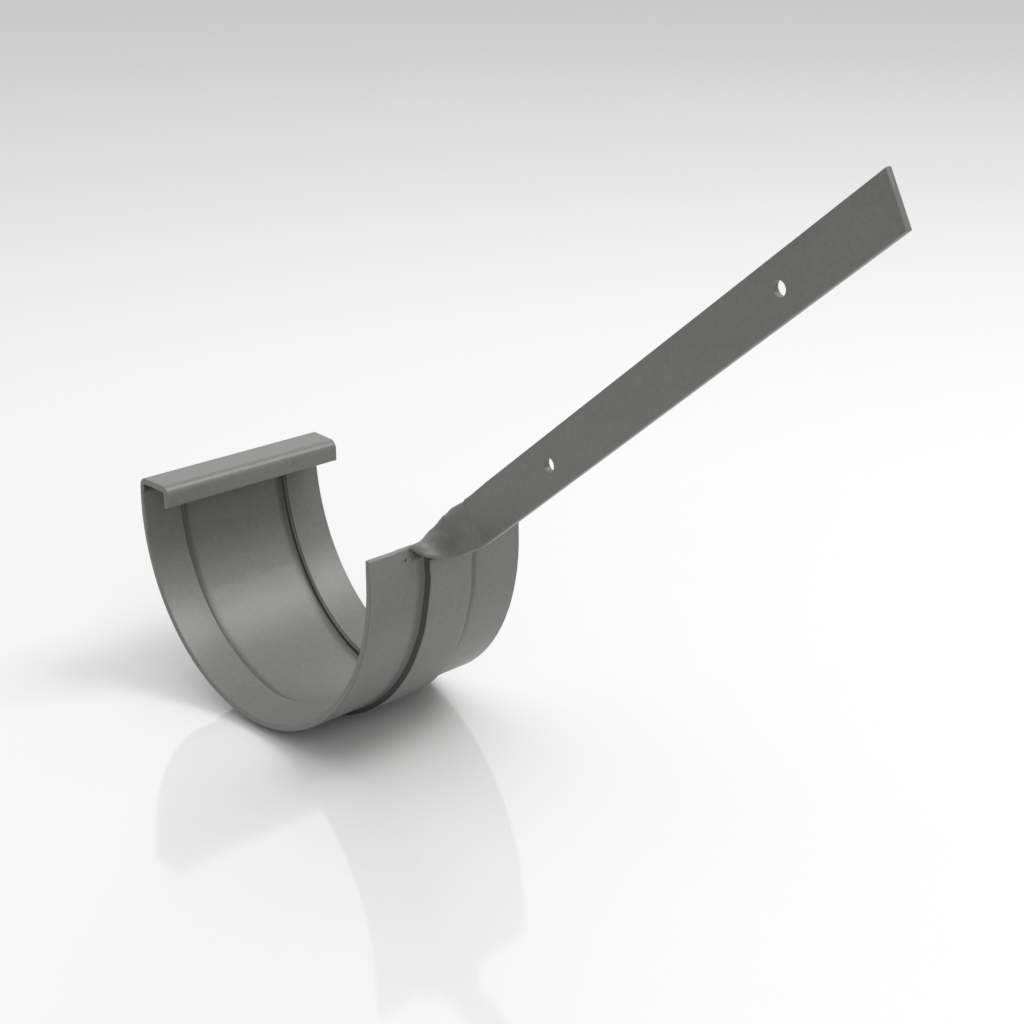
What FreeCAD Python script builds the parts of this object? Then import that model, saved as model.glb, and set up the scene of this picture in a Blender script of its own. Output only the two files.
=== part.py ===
import FreeCAD, Part
import math
import os

os.makedirs("parts", exist_ok=True)

# One-piece bracket for a half-round gutter, pressed and folded from a single sheet.
# Frame: the gutter's axis is Y, the band is centred on the origin, +Z is up,
# -X is the front (hook) side and +X the building (arm) side. Millimetres and degrees.

# Gutter and sheet
gutter_diameter = 115.0
gutter_clearance = 0.5
sheet = 2.0
edge_break = 0.3

# Band around the gutter: wide at the hook, narrower towards the arm
band_width_front = 66.3
band_width_rear = 55.4
rear_rise = 7.6

# Pressed centre zone, standing out between the two edge strips. It is as wide as the
# strap at the rear and flares under the gutter to its width at the front.
strip_width_rear = 20.0
strip_width_front = 12.8
flare_start = 68.0
flare_end = 98.0
step_height = 1.9
step_slope = 60.0
foot_round = 1.5
foot_rise = 0.5
crest_round = 0.45
crest_drop = 0.26
step_runout = 9.0

# Front hook
hook_height = 4.9
hook_depth = 16.0
hook_drop = 7.0
hook_back_radius = 2.5
hook_front_radius = 3.1

# Arm: its angle, and where its centre line starts behind the rear wall and above the axis
arm_angle = 37.1
arm_reach = 14.4
arm_rise = 16.02
arm_width = 14.8
arm_length = 190.0
arm_end_skew = 13.0
screw_hole_diameter = 4.2
screw_hole_first = 41.3
screw_hole_spacing = 105.4

# Root of the arm, where the centre zone folds outwards and turns on edge. The fold climbs
# from the near edge of the strap to its far edge, along a line that root_steer bows.
root_near = -15.2
root_far = 7.2
root_low = 8.6
root_high = 18.0
root_steer = (0.50, 1.20)
root_near_way = (0.78, 0.57, -0.30)
root_far_way = (0.72, -0.50, 0.48)
fold_near = 3.6
fold_far = 3.5
fold_relief = 0.2
settle_width = 8.0
fold_pull = 1.6
way_lag = 1.4
turn_near = 26.0
turn_far = 6.0
turn_arrive = 12.0

inner_radius = gutter_diameter / 2 + gutter_clearance
outer_radius = inner_radius + sheet
band_taper = (band_width_front - band_width_rear) / (4 * outer_radius)

X = FreeCAD.Vector(1, 0, 0)
Y = FreeCAD.Vector(0, 1, 0)
Z = FreeCAD.Vector(0, 0, 1)


def half_width(x):
    """Half the band's width where the sheet stands at x."""
    return band_width_front / 2 - band_taper * (x + outer_radius)


def curve(poles):
    """A smooth edge steered by its poles, straight when there are two."""
    if len(poles) == 2:
        return Part.makeLine(*poles)
    bezier = Part.BezierCurve()
    bezier.setPoles(poles)
    return bezier.toShape()


def chain(runs):
    """A closed wire from runs of poles, each starting where the last one ended."""
    return Part.Wire([curve(run) for run in runs])


def step_runs(inset, rise=1.0):
    """Outer and inner lines over one step, as runs of (distance from edge, height).

    inset is the distance from the edge to the step's crest. The wall between strip and
    zone keeps the sheet's thickness.
    """
    slope = math.radians(step_slope)
    lean = step_height / math.tan(slope)
    arris = inset + sheet / math.sin(slope) - (sheet + step_height) / math.tan(slope)
    foot = inset - lean
    bottom = arris + lean

    def rounded(start, steer, end, chords):
        """Straight chords from start to end along the curve that steer pulls."""
        line = [[a * (1 - t) ** 2 + 2 * b * t * (1 - t) + c * t * t for a, b, c in zip(start, steer, end)]
                for t in (k / chords for k in range(chords + 1))]
        return [[p, q] for p, q in zip(line, line[1:])]

    up, drop, top = foot_rise / math.tan(slope), crest_drop / math.tan(slope), step_height
    outer = rounded((foot - foot_round, 0), (foot, 0), (foot + up, foot_rise), 3)
    crest = rounded((inset - drop, top - crest_drop), (inset, top), (inset + crest_round, top), 2)
    outer += [[outer[-1][-1], crest[0][0]]] + crest
    floor = rounded((bottom - up, top - foot_rise), (bottom, top), (bottom + foot_round, top), 3)
    inner = [[(arris, 0), floor[0][0]]] + floor
    return [[[(d, h * rise) for d, h in run] for run in runs] for runs in (outer, inner)]


def strip_width(angle):
    """Distance from the band's edge to the step's crest."""
    return mix(strip_width_rear, strip_width_front,
               smooth((angle - flare_start) / (flare_end - flare_start)))


def band_section(angle):
    """Closed section of the band at an angle below the rear horizontal."""
    ray = FreeCAD.Vector(math.cos(math.radians(angle)), 0, -math.sin(math.radians(angle)))
    half = half_width(outer_radius * ray.x)

    def at(side, distance, radius):
        return ray * radius + Y * (side * (half - distance))

    def face(radius, steps):
        """One face of the sheet from edge to edge, between the broken corners."""
        across = []
        for side in (-1, 1):
            runs = [[at(side, d, radius + h) for d, h in run] for run in steps]
            runs.insert(0, [at(side, edge_break, radius), runs[0][0]])
            across += runs if side < 0 else [run[::-1] for run in runs[::-1]]
        middle = len(across) // 2
        across.insert(middle, [across[middle - 1][-1], across[middle][0]])
        return across

    def rim(side):
        """Edge of the sheet with its corners broken, from the outer to the inner face."""
        line = [at(side, edge_break, outer_radius), at(side, 0, outer_radius - edge_break),
                at(side, 0, inner_radius + edge_break), at(side, edge_break, inner_radius)]
        return [[p, q] for p, q in zip(line, line[1:])]

    outer, inner = step_runs(strip_width(angle), step_rise(angle))
    back = [run[::-1] for run in face(inner_radius, inner)[::-1]]
    close = [run[::-1] for run in rim(-1)[::-1]]
    return chain(face(outer_radius, outer) + rim(1) + back + close)


def step_rise(angle):
    """Share of the step's full height: it runs out just below the hook."""
    runout = math.degrees(step_runout / outer_radius)
    left = (180.0 - angle) / runout
    if left >= 1:
        return 1.0
    return max(0.02, left * left * (3 - 2 * left))


def band():
    """The half-round band, from the rear horizontal down and round to the front one."""
    angles = [7.5 * i for i in range(23)] + [169.0, 173.0, 176.5, 180.0]
    return Part.makeLoft([band_section(a) for a in angles], True, False)


def fold_start(t):
    """Height at which the wall begins to fold, from the strap's near to its far edge."""
    return mix(root_low - fold_near, root_high - fold_far, t) - sheet / 2


def upright(yz):
    """Rear wall, kept only inside an outline given by its corners (y, z)."""
    wall = Part.Face(band_section(0.0)).extrude(Z * (2 * rear_rise))
    corners = [FreeCAD.Vector(0, y, z) for y, z in yz]
    return wall.common(Part.Face(Part.makePolygon(corners + corners[:1])).extrude(X * 2 * outer_radius))


def rear_wall():
    """The upright wall above the rear horizontal: two strips and the root of the strap."""
    side = half_width(outer_radius) + 1
    near_top = root_near - fold_relief
    far_top = root_far + fold_relief
    near = upright([(-side, 0), (root_near, 0), (root_near, fold_start(0)),
                    (near_top, fold_start(0) + fold_relief), (near_top, rear_rise), (-side, rear_rise)])
    far = upright([(side, 0), (root_far, 0), (root_far, min(fold_start(1), rear_rise - fold_relief)),
                   (far_top, rear_rise), (side, rear_rise)])
    root = upright([(root_near, 0), (root_far, 0), (root_far, fold_start(1)), (root_near, fold_start(0))])
    return [near, root, far]


def hook():
    """Folded hook over the gutter's front bead, cut to the band's taper."""
    back = -outer_radius
    front = back + hook_depth
    low = hook_height - hook_drop
    r1, r2 = hook_back_radius, hook_front_radius
    c = math.sqrt(0.5)

    def bend(cx, cz, radius, start, mid, end):
        place = [FreeCAD.Vector(cx + radius * dx, 0, cz + radius * dz) for dx, dz in (start, mid, end)]
        return Part.Arc(*place).toShape()

    up, left, right = (0, 1), (-1, 0), (1, 0)
    b = (back + r1, hook_height - r1)
    f = (front - r2, hook_height - r2)

    def p(x, z):
        return FreeCAD.Vector(x, 0, z)

    edges = [
        Part.makeLine(p(back, 0), p(back, b[1])), bend(*b, r1, left, (-c, c), up),
        Part.makeLine(p(b[0], hook_height), p(f[0], hook_height)), bend(*f, r2, up, (c, c), right),
        Part.makeLine(p(front, f[1]), p(front, low)), Part.makeLine(p(front, low), p(front - sheet, low)),
        Part.makeLine(p(front - sheet, low), p(front - sheet, f[1])),
        bend(*f, r2 - sheet, right, (c, c), up),
        Part.makeLine(p(f[0], hook_height - sheet), p(b[0], hook_height - sheet)),
        bend(*b, r1 - sheet, up, (-c, c), left),
        Part.makeLine(p(back + sheet, b[1]), p(back + sheet, 0)),
        Part.makeLine(p(back + sheet, 0), p(back, 0)),
    ]
    half = band_width_front
    profile = Part.Face(Part.Wire(edges))
    profile.translate(Y * -half)
    blank = profile.extrude(Y * 2 * half)
    plan = [FreeCAD.Vector(x, s * half_width(x), low - 1) for s, x in
            ((-1, back - 1), (-1, front + 1), (1, front + 1), (1, back - 1))]
    trim = Part.Face(Part.makePolygon(plan + plan[:1])).extrude(Z * (hook_drop + 2))
    trimmed = blank.common(trim)
    return trimmed.makeChamfer(edge_break, [e for e in trimmed.Edges if hook_side_edge(e)])


def hook_side_edge(edge):
    """True for the hook's long side edges and the lower edges of its lip."""
    mid = edge.valueAt((edge.FirstParameter + edge.LastParameter) / 2)
    on_side = abs(abs(mid.y) - half_width(mid.x)) < 0.01
    is_foot = mid.z < 0.01 and mid.x < -inner_radius + 0.01
    runs_across = abs(edge.BoundBox.YLength) > sheet
    on_lip_end = abs(mid.z - (hook_height - hook_drop)) < 0.01
    return (on_side and not runs_across and not is_foot and not on_lip_end) or (
        on_lip_end and runs_across)


def arm_direction():
    a = math.radians(arm_angle)
    return FreeCAD.Vector(math.cos(a), 0, math.sin(a))


def arm_point(along, across, y=0.0):
    """A point of the arm's centre plane: along it from its start and across it, upwards."""
    a = math.radians(arm_angle)
    start = FreeCAD.Vector(outer_radius + arm_reach, y, arm_rise)
    return start + arm_direction() * along + FreeCAD.Vector(-math.sin(a), 0, math.cos(a)) * across


def hermite(start, leave, end, arrive, s):
    """Point on a smooth path with given end directions."""
    return (start * (2 * s**3 - 3 * s**2 + 1) + leave * (s**3 - 2 * s**2 + s)
            + end * (3 * s**2 - 2 * s**3) + arrive * (s**3 - s**2))


def smooth(t):
    """Eased share between 0 and 1."""
    t = min(1.0, max(0.0, t))
    return t * t * (3 - 2 * t)


def mix(a, b, t):
    return a * (1 - t) + b * t


def settled_height(t):
    """Height of the strap's middle once the step has run out over the fold."""
    distance = half_width(outer_radius) + mix(root_near, root_far, t)
    start = strip_width_rear - settle_width
    return step_height * smooth((distance - start) / (2 * settle_width))


def strap_middle(t, height, s):
    """Point of the strap's middle surface.

    t runs across it from its near to its far edge. s runs along it: 0 to 1 over the fold
    and 1 to 2 along the turn. height is the step's rise where the fold starts.
    """
    y = mix(root_near, root_far, t)
    x = outer_radius - sheet / 2 + mix(height, settled_height(t), smooth(s))
    climb = 3 * t * (1 - t) * (root_steer[0] * (1 - t) + root_steer[1] * t) + t**3
    corner = FreeCAD.Vector(x, y, mix(root_low, root_high, climb) - sheet / 2)
    low = FreeCAD.Vector(x, y, fold_start(t))
    setback = corner.z - low.z
    share = max(0.0, t) ** way_lag
    leave = mix(FreeCAD.Vector(*root_near_way), FreeCAD.Vector(*root_far_way), share).normalize()
    top = corner + leave * setback
    if s <= 1:
        pull = fold_pull * setback
        return hermite(low, Z * pull, top, leave * pull, s)
    end = arm_point(0, arm_width * (t - 0.5))
    arrive = arm_direction() * mix(turn_arrive, turn_far, t)
    return hermite(top, leave * mix(turn_near, turn_far, t), end, arrive, s - 1)


def strap_normal(t, height, s):
    """Direction from the strap's middle towards its upper face."""
    if s <= 0:
        return -X
    if s >= 2:
        return -Y
    step = 0.01
    travel = strap_middle(t, height, s + step) - strap_middle(t, height, s - step)
    lo, hi = max(0.0, t - step), min(1.0, t + step)
    across = strap_middle(hi, settled_height(hi), s) - strap_middle(lo, settled_height(lo), s)
    return mix(-X, travel.cross(across).normalize(), smooth(3 * s)).normalize()


def strap_section(s):
    """Closed section across the strap, with the step's lines at its near side."""
    width = root_far - root_near
    inset = half_width(outer_radius) + root_near
    corner = edge_break * smooth(2 * s)

    def at(distance, height, depth):
        t = (distance - inset) / width
        return strap_middle(t, height, s) + strap_normal(t, height, s) * depth

    def face(depth, steps):
        """One face of the strap from its near to its far edge, between the corners."""
        last, top = steps[-1][-1]
        end = inset + width - corner
        poles = [(last + (end - last) * k / 4, top) for k in range(5)]
        runs = [[(inset + corner, 0), steps[0][0]]] + steps + [poles]
        return [[at(d, h, depth) for d, h in run] for run in runs]

    def side(distance, height, inward):
        """Edge of the strap with its corners broken, from its lower to its upper face."""
        half = sheet / 2
        near = distance + inward * corner
        line = [at(near, height, -half), at(distance, height, edge_break - half),
                at(distance, height, half - edge_break), at(near, height, half)]
        return [[p, q] for p, q in zip(line, line[1:])]

    outer, inner = step_runs(strip_width_rear)
    upper = [run[::-1] for run in face(sheet / 2, inner)[::-1]]
    close = [run[::-1] for run in side(inset, 0, 1)[::-1]]
    return chain(face(-sheet / 2, outer) + side(inset + width, step_height, -1) + upper + close)


def strap():
    """The centre of the rear wall, folding outwards and turning on edge into the arm."""
    stations = [k / 4 for k in range(4)] + [1 + k / 7 for k in range(8)]
    return Part.makeLoft([strap_section(s) for s in stations], True, False)


def arm():
    """The straight arm on edge, with its two screw holes and its slanted end."""
    slant = math.tan(math.radians(arm_end_skew)) * arm_width
    blade = Part.Face(strap_section(2.0)).extrude(arm_direction() * (arm_length + slant))
    corners = [arm_point(arm_length - slant, -arm_width, -arm_width),
               arm_point(arm_length + slant, arm_width, -arm_width),
               arm_point(arm_length + 3 * slant, arm_width, -arm_width),
               arm_point(arm_length + 3 * slant, -arm_width, -arm_width)]
    waste = Part.Face(Part.makePolygon(corners + corners[:1])).extrude(Y * 2 * arm_width)
    blade = blade.cut(waste)
    for i in range(2):
        centre = arm_point(screw_hole_first + i * screw_hole_spacing, 0, -sheet)
        blade = blade.cut(Part.makeCylinder(screw_hole_diameter / 2, 2 * sheet, centre, Y))
    return blade


def gutter_bracket():
    """The whole bracket as one folded piece of sheet."""
    return band().fuse([hook()] + rear_wall() + [strap(), arm()]).removeSplitter()


bracket = gutter_bracket()
bracket.exportStep("parts/gutter_bracket.step")
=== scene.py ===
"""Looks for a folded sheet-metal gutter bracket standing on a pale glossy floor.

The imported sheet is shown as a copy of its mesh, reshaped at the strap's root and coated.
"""

import logging
import math
from dataclasses import dataclass
from enum import Enum
from typing import Optional, Sequence, Union

import bmesh
import bpy
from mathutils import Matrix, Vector


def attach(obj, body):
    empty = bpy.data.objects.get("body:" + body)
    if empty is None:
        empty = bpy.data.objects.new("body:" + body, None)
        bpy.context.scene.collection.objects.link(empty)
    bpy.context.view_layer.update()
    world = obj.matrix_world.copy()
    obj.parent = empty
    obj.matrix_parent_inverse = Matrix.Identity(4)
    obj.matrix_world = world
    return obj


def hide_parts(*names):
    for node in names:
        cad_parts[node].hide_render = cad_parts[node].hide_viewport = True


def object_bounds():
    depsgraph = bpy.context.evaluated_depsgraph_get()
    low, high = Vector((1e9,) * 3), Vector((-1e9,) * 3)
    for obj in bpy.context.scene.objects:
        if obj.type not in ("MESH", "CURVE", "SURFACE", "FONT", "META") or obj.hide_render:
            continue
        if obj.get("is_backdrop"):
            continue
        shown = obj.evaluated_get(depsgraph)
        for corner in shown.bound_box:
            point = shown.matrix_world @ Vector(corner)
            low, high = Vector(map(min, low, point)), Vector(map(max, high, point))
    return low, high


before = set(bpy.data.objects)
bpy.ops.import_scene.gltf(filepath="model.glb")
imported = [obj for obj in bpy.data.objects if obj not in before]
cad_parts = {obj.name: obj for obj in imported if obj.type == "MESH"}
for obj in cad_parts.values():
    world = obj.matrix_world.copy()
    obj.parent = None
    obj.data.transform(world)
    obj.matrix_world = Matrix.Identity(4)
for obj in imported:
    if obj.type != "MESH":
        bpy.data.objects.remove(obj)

MM = 0.001

log = logging.getLogger("bracket")

Number = Union[int, float]
Pair = tuple[float, float]
Triple = tuple[float, float, float]
Span = tuple[float, float]


def squares(span: Span) -> Span:
    """The squares of a span's two ends."""
    return span[0] ** 2, span[1] ** 2


class Op(Enum):
    """Arithmetic of the Math node."""

    ADD = "ADD"
    SUBTRACT = "SUBTRACT"
    MULTIPLY = "MULTIPLY"
    DIVIDE = "DIVIDE"
    MINIMUM = "MINIMUM"
    MAXIMUM = "MAXIMUM"


@dataclass(frozen=True)
class Socket:
    """An output socket that can be used in Python expressions.

    Args:
        graph: the graph the socket belongs to.
        out: the node's output socket.
    """

    graph: "Graph"
    out: bpy.types.NodeSocket

    def __add__(self, other: "Value") -> "Socket":
        """This plus the other."""
        return self.graph.maths(Op.ADD, self, other)

    def __radd__(self, other: "Value") -> "Socket":
        """The other plus this."""
        return self.graph.maths(Op.ADD, other, self)

    def __sub__(self, other: "Value") -> "Socket":
        """This less the other."""
        return self.graph.maths(Op.SUBTRACT, self, other)

    def __rsub__(self, other: "Value") -> "Socket":
        """The other less this."""
        return self.graph.maths(Op.SUBTRACT, other, self)

    def __mul__(self, other: "Value") -> "Socket":
        """This times the other."""
        return self.graph.maths(Op.MULTIPLY, self, other)

    def __rmul__(self, other: "Value") -> "Socket":
        """The other times this."""
        return self.graph.maths(Op.MULTIPLY, other, self)

    def __truediv__(self, other: "Value") -> "Socket":
        """This divided by the other."""
        return self.graph.maths(Op.DIVIDE, self, other)

    def __rtruediv__(self, other: "Value") -> "Socket":
        """The other divided by this."""
        return self.graph.maths(Op.DIVIDE, other, self)

    def larger(self, other: "Value") -> "Socket":
        """The larger of this and the other."""
        return self.graph.maths(Op.MAXIMUM, self, other)

    def clamp(self) -> "Socket":
        """The value held between 0 and 1."""
        return self.graph.maths(Op.MINIMUM, self.larger(0.0), 1.0)

    def ramp(self, span: Span) -> "Socket":
        """An eased 0-1 share of the way from one value to another.

        Args:
            span: the value at which the share is 0, and the one at which it is 1.

        Returns:
            The share.
        """
        start, end = span
        t = ((self - start) / (end - start)).clamp()
        return t * t * (3.0 - 2.0 * t)


Value = Union[Socket, Number, Sequence[float]]


class Graph:
    """A node tree of a material or of the room, built through expressions.

    Args:
        owner: the material or world that the tree belongs to.
        output: type of its output node, without the ShaderNode prefix.
    """

    # sockets of the Mix node when it blends colours
    MIX_SHARE, MIX_LOW, MIX_HIGH, MIX_RESULT = 0, 6, 7, 2

    def __init__(self, owner: Union[bpy.types.Material, bpy.types.World],
                 output: str = "OutputMaterial") -> None:
        """Empties the owner's tree and adds the output node."""
        self.owner = owner
        owner.use_nodes = True
        self.tree = owner.node_tree
        self.tree.nodes.clear()
        self.output = self.tree.nodes.new("ShaderNode" + output)

    def put(self, target: bpy.types.NodeSocket, value: Value) -> None:
        """Feeds an input from a socket, or sets it to a value.

        Args:
            target: the input.
            value: what goes in.
        """
        if isinstance(value, Socket):
            self.tree.links.new(value.out, target)
        elif isinstance(value, (int, float)):
            is_scalar = isinstance(target.default_value, (int, float))
            target.default_value = value if is_scalar else (value,) * len(target.default_value)
        else:
            wanted = len(target.default_value)
            target.default_value = (tuple(value) + (1.0,))[:wanted]

    def node(self, kind: str, out: Union[int, str] = 0, inputs: Optional[dict] = None,
             **settings: object) -> Socket:
        """Adds any node.

        Args:
            kind: the node's type, without its ShaderNode prefix.
            out: the output wanted.
            inputs: input name or index to value.
            settings: the node's own properties.

        Returns:
            The wanted output.
        """
        made = self.tree.nodes.new("ShaderNode" + kind)
        for name, value in settings.items():
            setattr(made, name, value)
        for name, value in (inputs or {}).items():
            self.put(made.inputs[name], value)
        return Socket(self, made.outputs[out])

    def maths(self, op: Op, left: Value, right: Value) -> Socket:
        """Arithmetic on two numbers.

        Args:
            op: what is done.
            left: first number.
            right: second number.

        Returns:
            The result.
        """
        return self.node("Math", inputs={0: left, 1: right}, operation=op.value)

    def dot(self, left: Value, right: Value) -> Socket:
        """The dot product of two vectors."""
        return self.node("VectorMath", out="Value", inputs={0: left, 1: right},
                         operation="DOT_PRODUCT")

    def parts(self, vector: Value) -> list[Socket]:
        """The X, Y and Z of a vector."""
        split = self.node("SeparateXYZ", inputs={0: vector}).out.node
        return [Socket(self, out) for out in split.outputs]

    def mix(self, share: Value, low: Value, high: Value) -> Socket:
        """Blends two colours.

        Args:
            share: 0 for the first colour, 1 for the second.
            low: first colour.
            high: second colour.

        Returns:
            The blended colour.
        """
        inputs = {self.MIX_SHARE: share, self.MIX_LOW: low, self.MIX_HIGH: high}
        return self.node("Mix", out=self.MIX_RESULT, inputs=inputs, data_type="RGBA")

    def surface(self, **inputs: Value) -> None:
        """Closes the graph with a surface shader.

        Args:
            inputs: shader input name, with underscores for spaces, to value.
        """
        named = {key.replace("_", " "): value for key, value in inputs.items()}
        self.close(self.node("BsdfPrincipled", inputs=named))

    def close(self, shader: Socket) -> None:
        """Links a shader to the tree's output."""
        self.tree.links.new(shader.out, self.output.inputs["Surface"])


@dataclass(frozen=True)
class Speckle:
    """One layer of soft noise in the coating, and how strongly each look follows it.

    Args:
        scale: features per metre.
        detail: octaves.
        rough: weight of the finer octaves.
        tone: change of tone, in shares of the way from the body's colour to the pale one.
        sheen: change of roughness.
        height: share of the bump.
    """

    scale: float
    detail: float
    rough: float
    tone: float
    sheen: float = 0.0
    height: float = 0.0

    def read(self, g: Graph, where: Socket) -> Socket:
        """The layer's noise at a place, from -0.5 to 0.5."""
        inputs = {"Vector": where, "Scale": self.scale, "Detail": self.detail, "Roughness": self.rough}
        return g.node("TexNoise", inputs=inputs) - 0.5


@dataclass(frozen=True)
class StepWalls:
    """The walls of the pressed step, which are darkened in colour: painted shade.

    A wall is known by its lean, the square of its normal's Y: a face of the band has less and
    a cut side of the sheet has more. Each span ends where the change is full. Places are in
    metres from the gutter's axis and from the band's middle.
    """

    lean: Span = (0.20, 0.50)
    cut_side: Span = (0.86, 0.96)
    half_width: Span = (21.6 * MM, 24.0 * MM)
    radius: Span = (62.23 * MM, 63.5 * MM)
    height: Span = (5.2 * MM, 6.5 * MM)

    def mask(self, g: Graph, where: Socket) -> Socket:
        """Where the walls are.

        Args:
            g: the material's graph.
            where: position on the sheet.

        Returns:
            1 on the walls, 0 elsewhere.
        """
        x, y, z = g.parts(where)
        across = g.parts(g.node("NewGeometry", out="Normal"))[1]
        lean = across * across
        # walls that lean along the gutter's axis are darkened in colour: painted shade
        wall = lean.ramp(self.lean) * (1.0 - lean.ramp(self.cut_side))
        beside = (y * y).ramp(squares(self.half_width))
        outside = (x * x + z * z).ramp(squares(self.radius))
        above = z.ramp(self.height)
        return wall * (1.0 - beside) * (1.0 - outside) * (1.0 - above)


@dataclass(frozen=True)
class UnshadedFolds:
    """The worked folds above the rear upright, which get no painted shade. Places are in metres."""

    behind: Span = (45.0 * MM, 50.0 * MM)
    above: Span = (8.5 * MM, 11.0 * MM)
    corner_above: Span = (3.0 * MM, 4.4 * MM)
    corner_beside: Span = (-14.3 * MM, -12.8 * MM)

    def mask(self, g: Graph, where: Socket) -> Socket:
        """Where the folds are.

        Args:
            g: the material's graph.
            where: position on the sheet.

        Returns:
            1 on the folds, 0 elsewhere.
        """
        x, y, z = g.parts(where)
        corner = z.ramp(self.corner_above) * (1.0 - y.ramp(self.corner_beside))
        return corner.larger(z.ramp(self.above)) * x.ramp(self.behind)


@dataclass(frozen=True)
class CoatedSheet:
    """Satin dark grey coating with a fine grain over steel sheet.

    It is paler at its edges, partly wear and partly a painted edge highlight, and darker in creases
    and on the step's walls, where shade is painted into its colour.
    Sizes are in metres, colours are linear.
    """

    body: Triple = (0.135, 0.135, 0.127)
    pale: Triple = (0.190, 0.189, 0.178)
    # colour of worn edges, which is also a painted edge highlight
    worn_and_lit: Triple = (0.23, 0.228, 0.216)
    # colour of the painted shade in creases and on the step's walls
    painted_shade_colour: Triple = (0.020, 0.020, 0.0195)
    middle_tone: float = 0.5
    roughness: float = 0.36
    grain: Speckle = Speckle(1500.0, 3.0, 0.65, tone=1.1, sheen=0.12, height=1.0)
    fleck: Speckle = Speckle(630.0, 2.0, 0.5, tone=0.7, height=0.6)
    cloud: Speckle = Speckle(55.0, 3.0, 0.55, tone=0.35, sheen=0.05)
    bump_height: float = 0.03 * MM
    bump_strength: float = 0.35
    edge_radius: float = 0.45 * MM
    edge_samples: int = 6
    edge_turn: Span = (0.004, 0.12)
    edge_patches: float = 0.9
    wear_and_highlight_cover: float = 0.75
    wear_polish: float = 0.05
    crease_reach: float = 3.4 * MM
    crease_samples: int = 8
    crease_depth: Span = (0.03, 0.17)
    painted_shade_cover: float = 0.97
    walls: StepWalls = StepWalls()
    folds: UnshadedFolds = UnshadedFolds()

    def wear_and_highlight(self, g: Graph, soft: Socket, cloud: Socket) -> Socket:
        """The paling of the sheet's edges, partly wear and partly painted highlight, which comes in
        patches.

        Args:
            g: the material's graph.
            soft: the normal, with the edges rounded.
            cloud: noise from -0.5 to 0.5 that thins the paling.

        Returns:
            0 away from the edges, 1 where the edge is palest.
        """
        facing = g.dot(soft, g.node("NewGeometry", out="True Normal"))
        return (1.0 - facing).ramp(self.edge_turn) * (1.0 + self.edge_patches * cloud).clamp()

    def painted_shade(self, g: Graph, where: Socket) -> Socket:
        """The painted shade in creases and on the step's walls.

        Args:
            g: the material's graph.
            where: position on the sheet.

        Returns:
            0 where no shade is painted, 1 where it is darkest.
        """
        # ambient occlusion darkens the colour in creases: painted shade
        open_air = g.node("AmbientOcclusion", out="AO", inputs={"Distance": self.crease_reach},
                          samples=self.crease_samples, only_local=True)
        creases = (1.0 - open_air).ramp(self.crease_depth) * (1.0 - self.folds.mask(g, where))
        return creases.larger(self.walls.mask(g, where))

    def build(self) -> bpy.types.Material:
        """Makes the material.

        Returns:
            The material.
        """
        g = Graph(bpy.data.materials.new("coated_sheet"))
        where = g.node("TexCoord", out="Object")
        grain, fleck, cloud = (layer.read(g, where) for layer in (self.grain, self.fleck, self.cloud))
        soft = g.node("Bevel", inputs={"Radius": self.edge_radius}, samples=self.edge_samples)
        wear_and_highlight = self.wear_and_highlight(g, soft, cloud)
        tone = (self.middle_tone + grain * self.grain.tone + fleck * self.fleck.tone
                + cloud * self.cloud.tone).clamp()
        colour = g.mix(tone, self.body, self.pale)
        # pale edges: partly wear, partly a painted edge highlight
        colour = g.mix(wear_and_highlight * self.wear_and_highlight_cover, colour, self.worn_and_lit)
        # painted shade: creases and the step's walls are darkened in colour
        colour = g.mix(self.painted_shade(g, where) * self.painted_shade_cover, colour, self.painted_shade_colour)
        rough = (self.roughness + grain * self.grain.sheen + cloud * self.cloud.sheen
                 - wear_and_highlight * self.wear_polish)
        height = grain * self.grain.height + fleck * self.fleck.height
        bump = g.node("Bump", inputs={"Strength": self.bump_strength, "Distance": self.bump_height,
                                      "Height": height, "Normal": soft})
        g.surface(Base_Color=colour, Roughness=rough, Normal=bump)
        return g.owner


@dataclass(frozen=True)
class PaleFloor:
    """Seamless pale floor whose colour greys with distance, a painted fall-off of light, and which
    mirrors faintly. Lengths are in metres.
    """

    near: Triple = (0.775, 0.775, 0.772)
    far: Triple = (0.70, 0.70, 0.70)
    painted_falloff: Span = (0.20, 1.1)
    roughness: float = 0.07

    def build(self) -> bpy.types.Material:
        """Makes the material.

        Returns:
            The material.
        """
        g = Graph(bpy.data.materials.new("pale_floor"))
        where = g.node("TexCoord", out="Object")
        away = g.node("VectorMath", out="Value", inputs={0: where}, operation="LENGTH")
        # the colour darkens away from the bracket: painted fall-off of light
        g.surface(Base_Color=g.mix(away.ramp(self.painted_falloff), self.near, self.far),
                  Roughness=self.roughness)
        return g.owner


@dataclass(frozen=True)
class Push:
    """A soft local push of the sheet, strongest at its centre. Lengths are in millimetres.

    Args:
        centre: where the push is strongest.
        move: how far the sheet moves there.
        across: direction across the strap.
        along: direction along the strap.
        reach: how far the push reaches across, along and through the sheet.
        crisp: whether the push ends in a clear fold across the strap, not in a soft one.
    """

    centre: Triple
    move: Triple
    across: Triple
    along: Triple
    reach: Triple
    crisp: bool = False

    # the sheet moves in its whole thickness: the share through it is full well inside the reach
    THROUGH = 2.5

    def at(self, point: Vector) -> Vector:
        """How far a point moves.

        Args:
            point: the point.

        Returns:
            Its move.
        """
        across = Vector(self.across).normalized()
        along = Vector(self.along).normalized()
        through = across.cross(along)
        away = point - Vector(self.centre)
        side, length, depth = (1.0 - min(1.0, (away.dot(axis) / reach) ** 2)
                               for axis, reach in zip((across, along, through), self.reach))
        weight = (side if self.crisp else side ** 2) * length ** 2 * min(1.0, self.THROUGH * depth)
        return Vector(self.move) * weight


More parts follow.
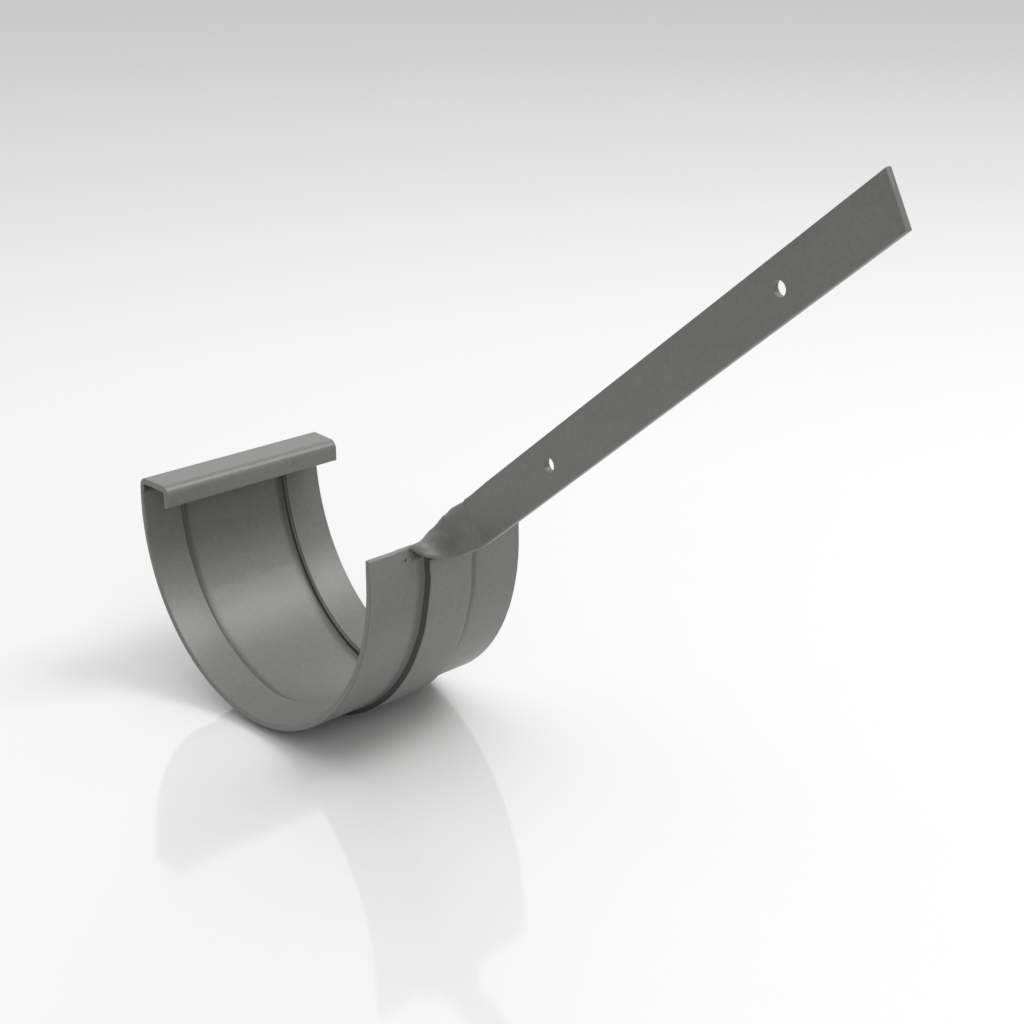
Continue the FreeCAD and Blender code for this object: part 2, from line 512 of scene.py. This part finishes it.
@dataclass(frozen=True)
class Easing:
    """A place where the sheet is smoothed, in millimetres.

    Args:
        centre: the middle of the place.
        reach: how far it reaches.
        times: how often it is smoothed.
        share: how much, each time.
    """

    centre: Triple
    reach: float
    times: int
    share: float

    def smooth(self, mesh: bmesh.types.BMesh) -> None:
        """Smooths the sheet within reach.

        Args:
            mesh: the sheet, in metres.
        """
        centre = Vector(self.centre) * MM
        near = [vert for vert in mesh.verts if (vert.co - centre).length < self.reach * MM]
        for _ in range(self.times):
            bmesh.ops.smooth_vert(mesh, verts=near, factor=self.share, use_axis_x=True,
                                  use_axis_y=True, use_axis_z=True)


@dataclass(frozen=True)
class RootShape:
    """The listed reshaping at the strap's root, in millimetres.

    The strap is dished behind its near edge, and its far edge swells before it meets the arm but
    stays under the line of the arm's upper edge. The slit beside the near upright is closed: its
    foot is welded, and the upright's end is drawn over it. The arm's and the upright's values
    are those of the part's source.

    Args:
        work_low: lowest corner of the worked zone.
        work_high: highest corner of the worked zone.
        longest_edge: length above which an edge in the zone is split.
        splits: how often edges are split.
        arm_start: where the arm's centre line starts.
        arm_angle: the arm's rise, in degrees.
        arm_width: the arm's width.
        upright_end: Y of the upright's end at the slit.
        upright_foot: height at which the slit starts.
        upright_back: X that the upright stays in front of.
        on_end: distance within which a point counts as on the upright's end.
        slit_width: the slit's width, over which the end is drawn.
        end_lean: how much further it is drawn for each millimetre of height.
        slit_foot: Y and Z of the middle of the slit's foot.
        foot_reach: how far the foot reaches from there.
        foot_weld: distance at which the foot's vertices become one.
        arm_joint: the smoothing where the strap meets the arm.
        pushes: the soft pushes that give the strap its form.
    """

    work_low: Triple = (57.0, -17.0, 3.5)
    work_high: Triple = (82.0, 9.0, 26.0)
    longest_edge: float = 0.8
    splits: int = 4
    arm_start: Triple = (74.4, 0.0, 16.02)
    arm_angle: float = 37.1
    arm_width: float = 14.8
    upright_end: float = -15.4
    upright_foot: float = 5.0
    upright_back: float = 62.0
    on_end: float = 0.05
    slit_width: float = 0.25
    end_lean: float = 1.2
    slit_foot: Pair = (-15.3, 5.1)
    foot_reach: float = 0.25
    foot_weld: float = 0.35
    arm_joint: Easing = Easing((69.5, -0.5, 20.5), reach=4.5, times=8, share=0.5)
    pushes: tuple[Push, ...] = (
        Push((67.6, -7.0, 9.7), (-1.5, 2.0, -1.9), (0.0, 0.63, 0.78), (0.8, 0.55, 0.1),
             (6.2, 10.0, 5.0), crisp=True),
        Push((62.4, -5.4, 13.0), (-0.2, 0.0, 1.0), (0.0, 0.0, 1.0), (0.8, 0.6, 0.0),
             (4.0, 4.5, 4.0)),
        Push((66.6, -0.6, 18.4), (-0.2, 0.0, 1.8), (0.0, 0.0, 1.0), (0.8, 0.6, 0.0),
             (4.5, 5.5, 4.5)),
        Push((60.8, -9.8, 10.2), (0.3, 0.0, -0.7), (0.0, 0.0, 1.0), (0.0, 1.0, 0.0),
             (4.0, 3.5, 4.0)),
        Push((61.0, -15.3, 7.0), (-0.5, 0.9, 0.0), (0.0, 0.0, 1.0), (0.0, 1.0, 0.0),
             (3.0, 6.0, 3.5)),
        Push((62.2, -4.5, 3.6), (-1.0, 0.0, 0.0), (0.0, 0.0, 1.0), (0.0, 1.0, 0.0),
             (1.7, 7.0, 1.6)),
    )

    def in_reach(self, point: Vector) -> bool:
        """Whether a point lies in the worked zone."""
        return all(low < value < high
                   for low, value, high in zip(self.work_low, point, self.work_high))

    def at_slit_foot(self, point: Vector) -> bool:
        """Whether a point lies at the foot of the slit.

        Args:
            point: the point.

        Returns:
            Whether it does.
        """
        beside, above = self.slit_foot
        return (self.in_reach(point) and abs(point.y - beside) < self.foot_reach
                and abs(point.z - above) < self.foot_reach)

    def trimmed(self, point: Vector) -> Vector:
        """The point, held below the line of the arm's upper edge.

        Args:
            point: the point.

        Returns:
            The point, or its foot on the line.
        """
        angle = math.radians(self.arm_angle)
        upwards = Vector((-math.sin(angle), 0.0, math.cos(angle)))
        over = (point - Vector(self.arm_start)).dot(upwards) - self.arm_width / 2.0
        return point - upwards * max(0.0, over)

    def shaped(self, point: Vector) -> Vector:
        """Where a point of the sheet ends up.

        Args:
            point: the point.

        Returns:
            Its new place.
        """
        moved = point.copy()
        for push in self.pushes:
            moved += push.at(point)
        rise = point.z - self.upright_foot
        on_end = abs(point.y - self.upright_end) < self.on_end and point.x < self.upright_back
        if on_end and rise > 0.0:
            moved.y += self.slit_width + self.end_lean * rise
        return self.trimmed(moved)

    def refine(self, mesh: bmesh.types.BMesh) -> None:
        """Splits the long edges of the worked zone.

        Args:
            mesh: the sheet, in metres.
        """
        for _ in range(self.splits):
            long_edges = [
                edge for edge in mesh.edges
                if edge.calc_length() > self.longest_edge * MM
                and any(self.in_reach(vert.co / MM) for vert in edge.verts)
            ]
            bmesh.ops.subdivide_edges(mesh, edges=long_edges, cuts=1)
            bmesh.ops.triangulate(mesh, faces=[face for face in mesh.faces if len(face.verts) > 3])

    def work(self, mesh: bmesh.types.BMesh) -> None:
        """Works the root to shape.

        Args:
            mesh: the welded sheet, in metres.
        """
        foot = [vert for vert in mesh.verts if self.at_slit_foot(vert.co / MM)]
        bmesh.ops.remove_doubles(mesh, verts=foot, dist=self.foot_weld * MM)
        self.refine(mesh)
        for vert in mesh.verts:
            if self.in_reach(vert.co / MM):
                vert.co = self.shaped(vert.co / MM) * MM
        self.arm_joint.smooth(mesh)


@dataclass(frozen=True)
class Bracket:
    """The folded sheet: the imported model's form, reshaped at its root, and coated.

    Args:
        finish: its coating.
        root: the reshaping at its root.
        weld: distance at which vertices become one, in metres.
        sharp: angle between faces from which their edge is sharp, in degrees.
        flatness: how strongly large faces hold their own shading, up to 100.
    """

    finish: CoatedSheet
    root: RootShape
    weld: float = 0.001 * MM
    sharp: float = 24.0
    flatness: int = 100

    NODE = "gutter_bracket"
    BODY = "root"
    SLOT = "coated_sheet"
    PIECE = "bracket_sheet"

    def worked(self, node: bpy.types.Object) -> bpy.types.Mesh:
        """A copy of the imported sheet's mesh with its root worked to shape.

        Args:
            node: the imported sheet.

        Returns:
            The new mesh.
        """
        mesh = bmesh.new()
        mesh.from_mesh(node.data)
        bmesh.ops.remove_doubles(mesh, verts=mesh.verts, dist=self.weld)
        self.root.work(mesh)
        made = bpy.data.meshes.new(self.PIECE)
        mesh.to_mesh(made)
        mesh.free()
        return made

    def shade(self, sheet: bpy.types.Object) -> None:
        """Shades folds softly and keeps flat faces and cut edges as they are.

        Args:
            sheet: the piece.
        """
        for face in sheet.data.polygons:
            face.use_smooth = True
        sheet.data.set_sharp_from_angle(angle=math.radians(self.sharp))
        flats = sheet.modifiers.new("flat faces stay flat", "WEIGHTED_NORMAL")
        flats.mode = "FACE_AREA"
        flats.weight = self.flatness
        flats.keep_sharp = True

    def build(self) -> list[bpy.types.Object]:
        """Shapes and coats the sheet.

        Returns:
            The coated pieces.
        """
        sheet = bpy.data.objects.new(self.PIECE, self.worked(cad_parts[self.NODE]))
        bpy.context.scene.collection.objects.link(sheet)
        self.shade(sheet)
        sheet.data.materials.append(self.finish.build())
        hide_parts(self.NODE)
        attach(sheet, self.BODY)
        return [sheet]


@dataclass(frozen=True)
class Softbox:
    """One soft rectangular light that looks at the gutter's axis.

    Args:
        name: the light's name.
        place: where it hangs, in metres.
        size: its width and height, in metres.
        power: its power, in watts.
        mirrored: whether glossy surfaces mirror its rectangle.
    """

    name: str
    place: Triple
    size: Pair
    power: float
    mirrored: bool = True

    def build(self) -> bpy.types.Object:
        """Hangs the light.

        Returns:
            The light object.
        """
        data = bpy.data.lights.new(self.name, "AREA")
        data.shape = "RECTANGLE"
        data.size, data.size_y = self.size
        data.energy = self.power
        made = bpy.data.objects.new(self.name, data)
        made.location = self.place
        made.rotation_euler = (-Vector(self.place)).to_track_quat("-Z", "Y").to_euler()
        made.visible_glossy = self.mirrored
        bpy.context.scene.collection.objects.link(made)
        return made


@dataclass(frozen=True)
class PhotoCamera:
    """The photograph's camera, in millimetres, degrees and pixels of its square picture.

    The bracket stands low and left in the picture, so the lens is shifted: its axis meets the
    picture at axis_x and axis_y, from the left and from the top.
    """

    place: Triple = (462.2, -307.65, 204.3)
    azimuth: float = 43.3
    fall: float = 7.1
    focal: float = 1760.6
    axis_x: float = 723.5
    axis_y: float = 84.6
    picture: float = 1024.0
    sensor: float = 36.0
    clip: Span = (10.0, 100000.0)

    def build(self) -> bpy.types.Object:
        """Places the camera and makes it the scene's own.

        Returns:
            The camera object.
        """
        data = bpy.data.cameras.new("camera")
        data.sensor_width = self.sensor
        data.lens = self.focal / self.picture * self.sensor
        data.shift_x = 0.5 - self.axis_x / self.picture
        data.shift_y = self.axis_y / self.picture - 0.5
        data.clip_start, data.clip_end = (distance * MM for distance in self.clip)
        made = bpy.data.objects.new("camera", data)
        made.location = Vector(self.place) * MM
        made.rotation_euler = (math.radians(90.0 - self.fall), 0.0, math.radians(self.azimuth))
        bpy.context.scene.collection.objects.link(made)
        bpy.context.scene.camera = made
        return made


@dataclass(frozen=True)
class Studio:
    """Floor, room light, softboxes and camera around the bracket.

    Lengths are in metres. The room's light is even, with more from the ceiling and from a pale
    backdrop behind the bracket. Each of its spans ends where that light is full: a height is
    the upward part of the direction looked in, and a facing is how well it meets backdrop_way.
    """

    floor: PaleFloor
    camera: PhotoCamera
    floor_half: float = 30.0
    floor_gap: float = 0.0001
    sky_colour: Triple = (1.0, 1.0, 1.0)
    sky_base: float = 0.40
    sky_ceiling: float = 0.20
    sky_backdrop: float = 0.62
    ceiling_height: Span = (0.0, 1.0)
    backdrop_way: Triple = (-0.80, 0.58, 0.15)
    backdrop_facing: Span = (0.2, 0.95)
    backdrop_height: Span = (-0.08, 0.3)
    softboxes: tuple[Softbox, ...] = (
        Softbox("key", (0.62, 0.78, 1.45), (0.85, 0.85), 14.0),
        Softbox("top", (-0.1, -0.1, 1.8), (1.8, 1.8), 6.0),
        Softbox("fill", (1.5, -0.6, 0.9), (1.4, 1.0), 6.5, mirrored=False),
    )

    def ground(self) -> bpy.types.Object:
        """Lays the floor under the lowest point of the bracket.

        Returns:
            The floor object.
        """
        half = self.floor_half
        mesh = bpy.data.meshes.new("floor")
        corners = [(-half, -half, 0.0), (half, -half, 0.0), (half, half, 0.0), (-half, half, 0.0)]
        mesh.from_pydata(corners, [], [(0, 1, 2, 3)])
        made = bpy.data.objects.new("floor", mesh)
        made.location.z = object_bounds()[0].z - self.floor_gap
        made.data.materials.append(self.floor.build())
        bpy.context.scene.collection.objects.link(made)
        made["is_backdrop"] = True
        return made

    def sky(self) -> None:
        """Fills the room with soft light from its ceiling and from a pale backdrop."""
        g = Graph(bpy.data.worlds.new("room"), "OutputWorld")
        way = g.node("TexCoord", out="Generated")
        height = g.parts(way)[2]
        ceiling = height.ramp(self.ceiling_height)
        facing = g.dot(way, self.backdrop_way).ramp(self.backdrop_facing)
        backdrop = facing * height.ramp(self.backdrop_height)
        strength = self.sky_base + self.sky_ceiling * ceiling + self.sky_backdrop * backdrop
        g.close(g.node("Background", inputs={"Color": self.sky_colour, "Strength": strength}))
        bpy.context.scene.world = g.owner

    def build(self) -> list[bpy.types.Object]:
        """Sets up the studio.

        Returns:
            The objects made.
        """
        self.sky()
        return [self.ground(), *(box.build() for box in self.softboxes), self.camera.build()]


def main() -> None:
    """Builds the whole scene."""
    logging.basicConfig(level=logging.INFO, format="%(name)s: %(message)s")
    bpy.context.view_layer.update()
    for part in (Bracket(CoatedSheet(), RootShape()), Studio(PaleFloor(), PhotoCamera())):
        for made in part.build():
            log.info("%s: %s", type(part).__name__, made.name)
    bpy.context.scene.view_settings.view_transform = "Standard"


if __name__ == "__main__":
    main()
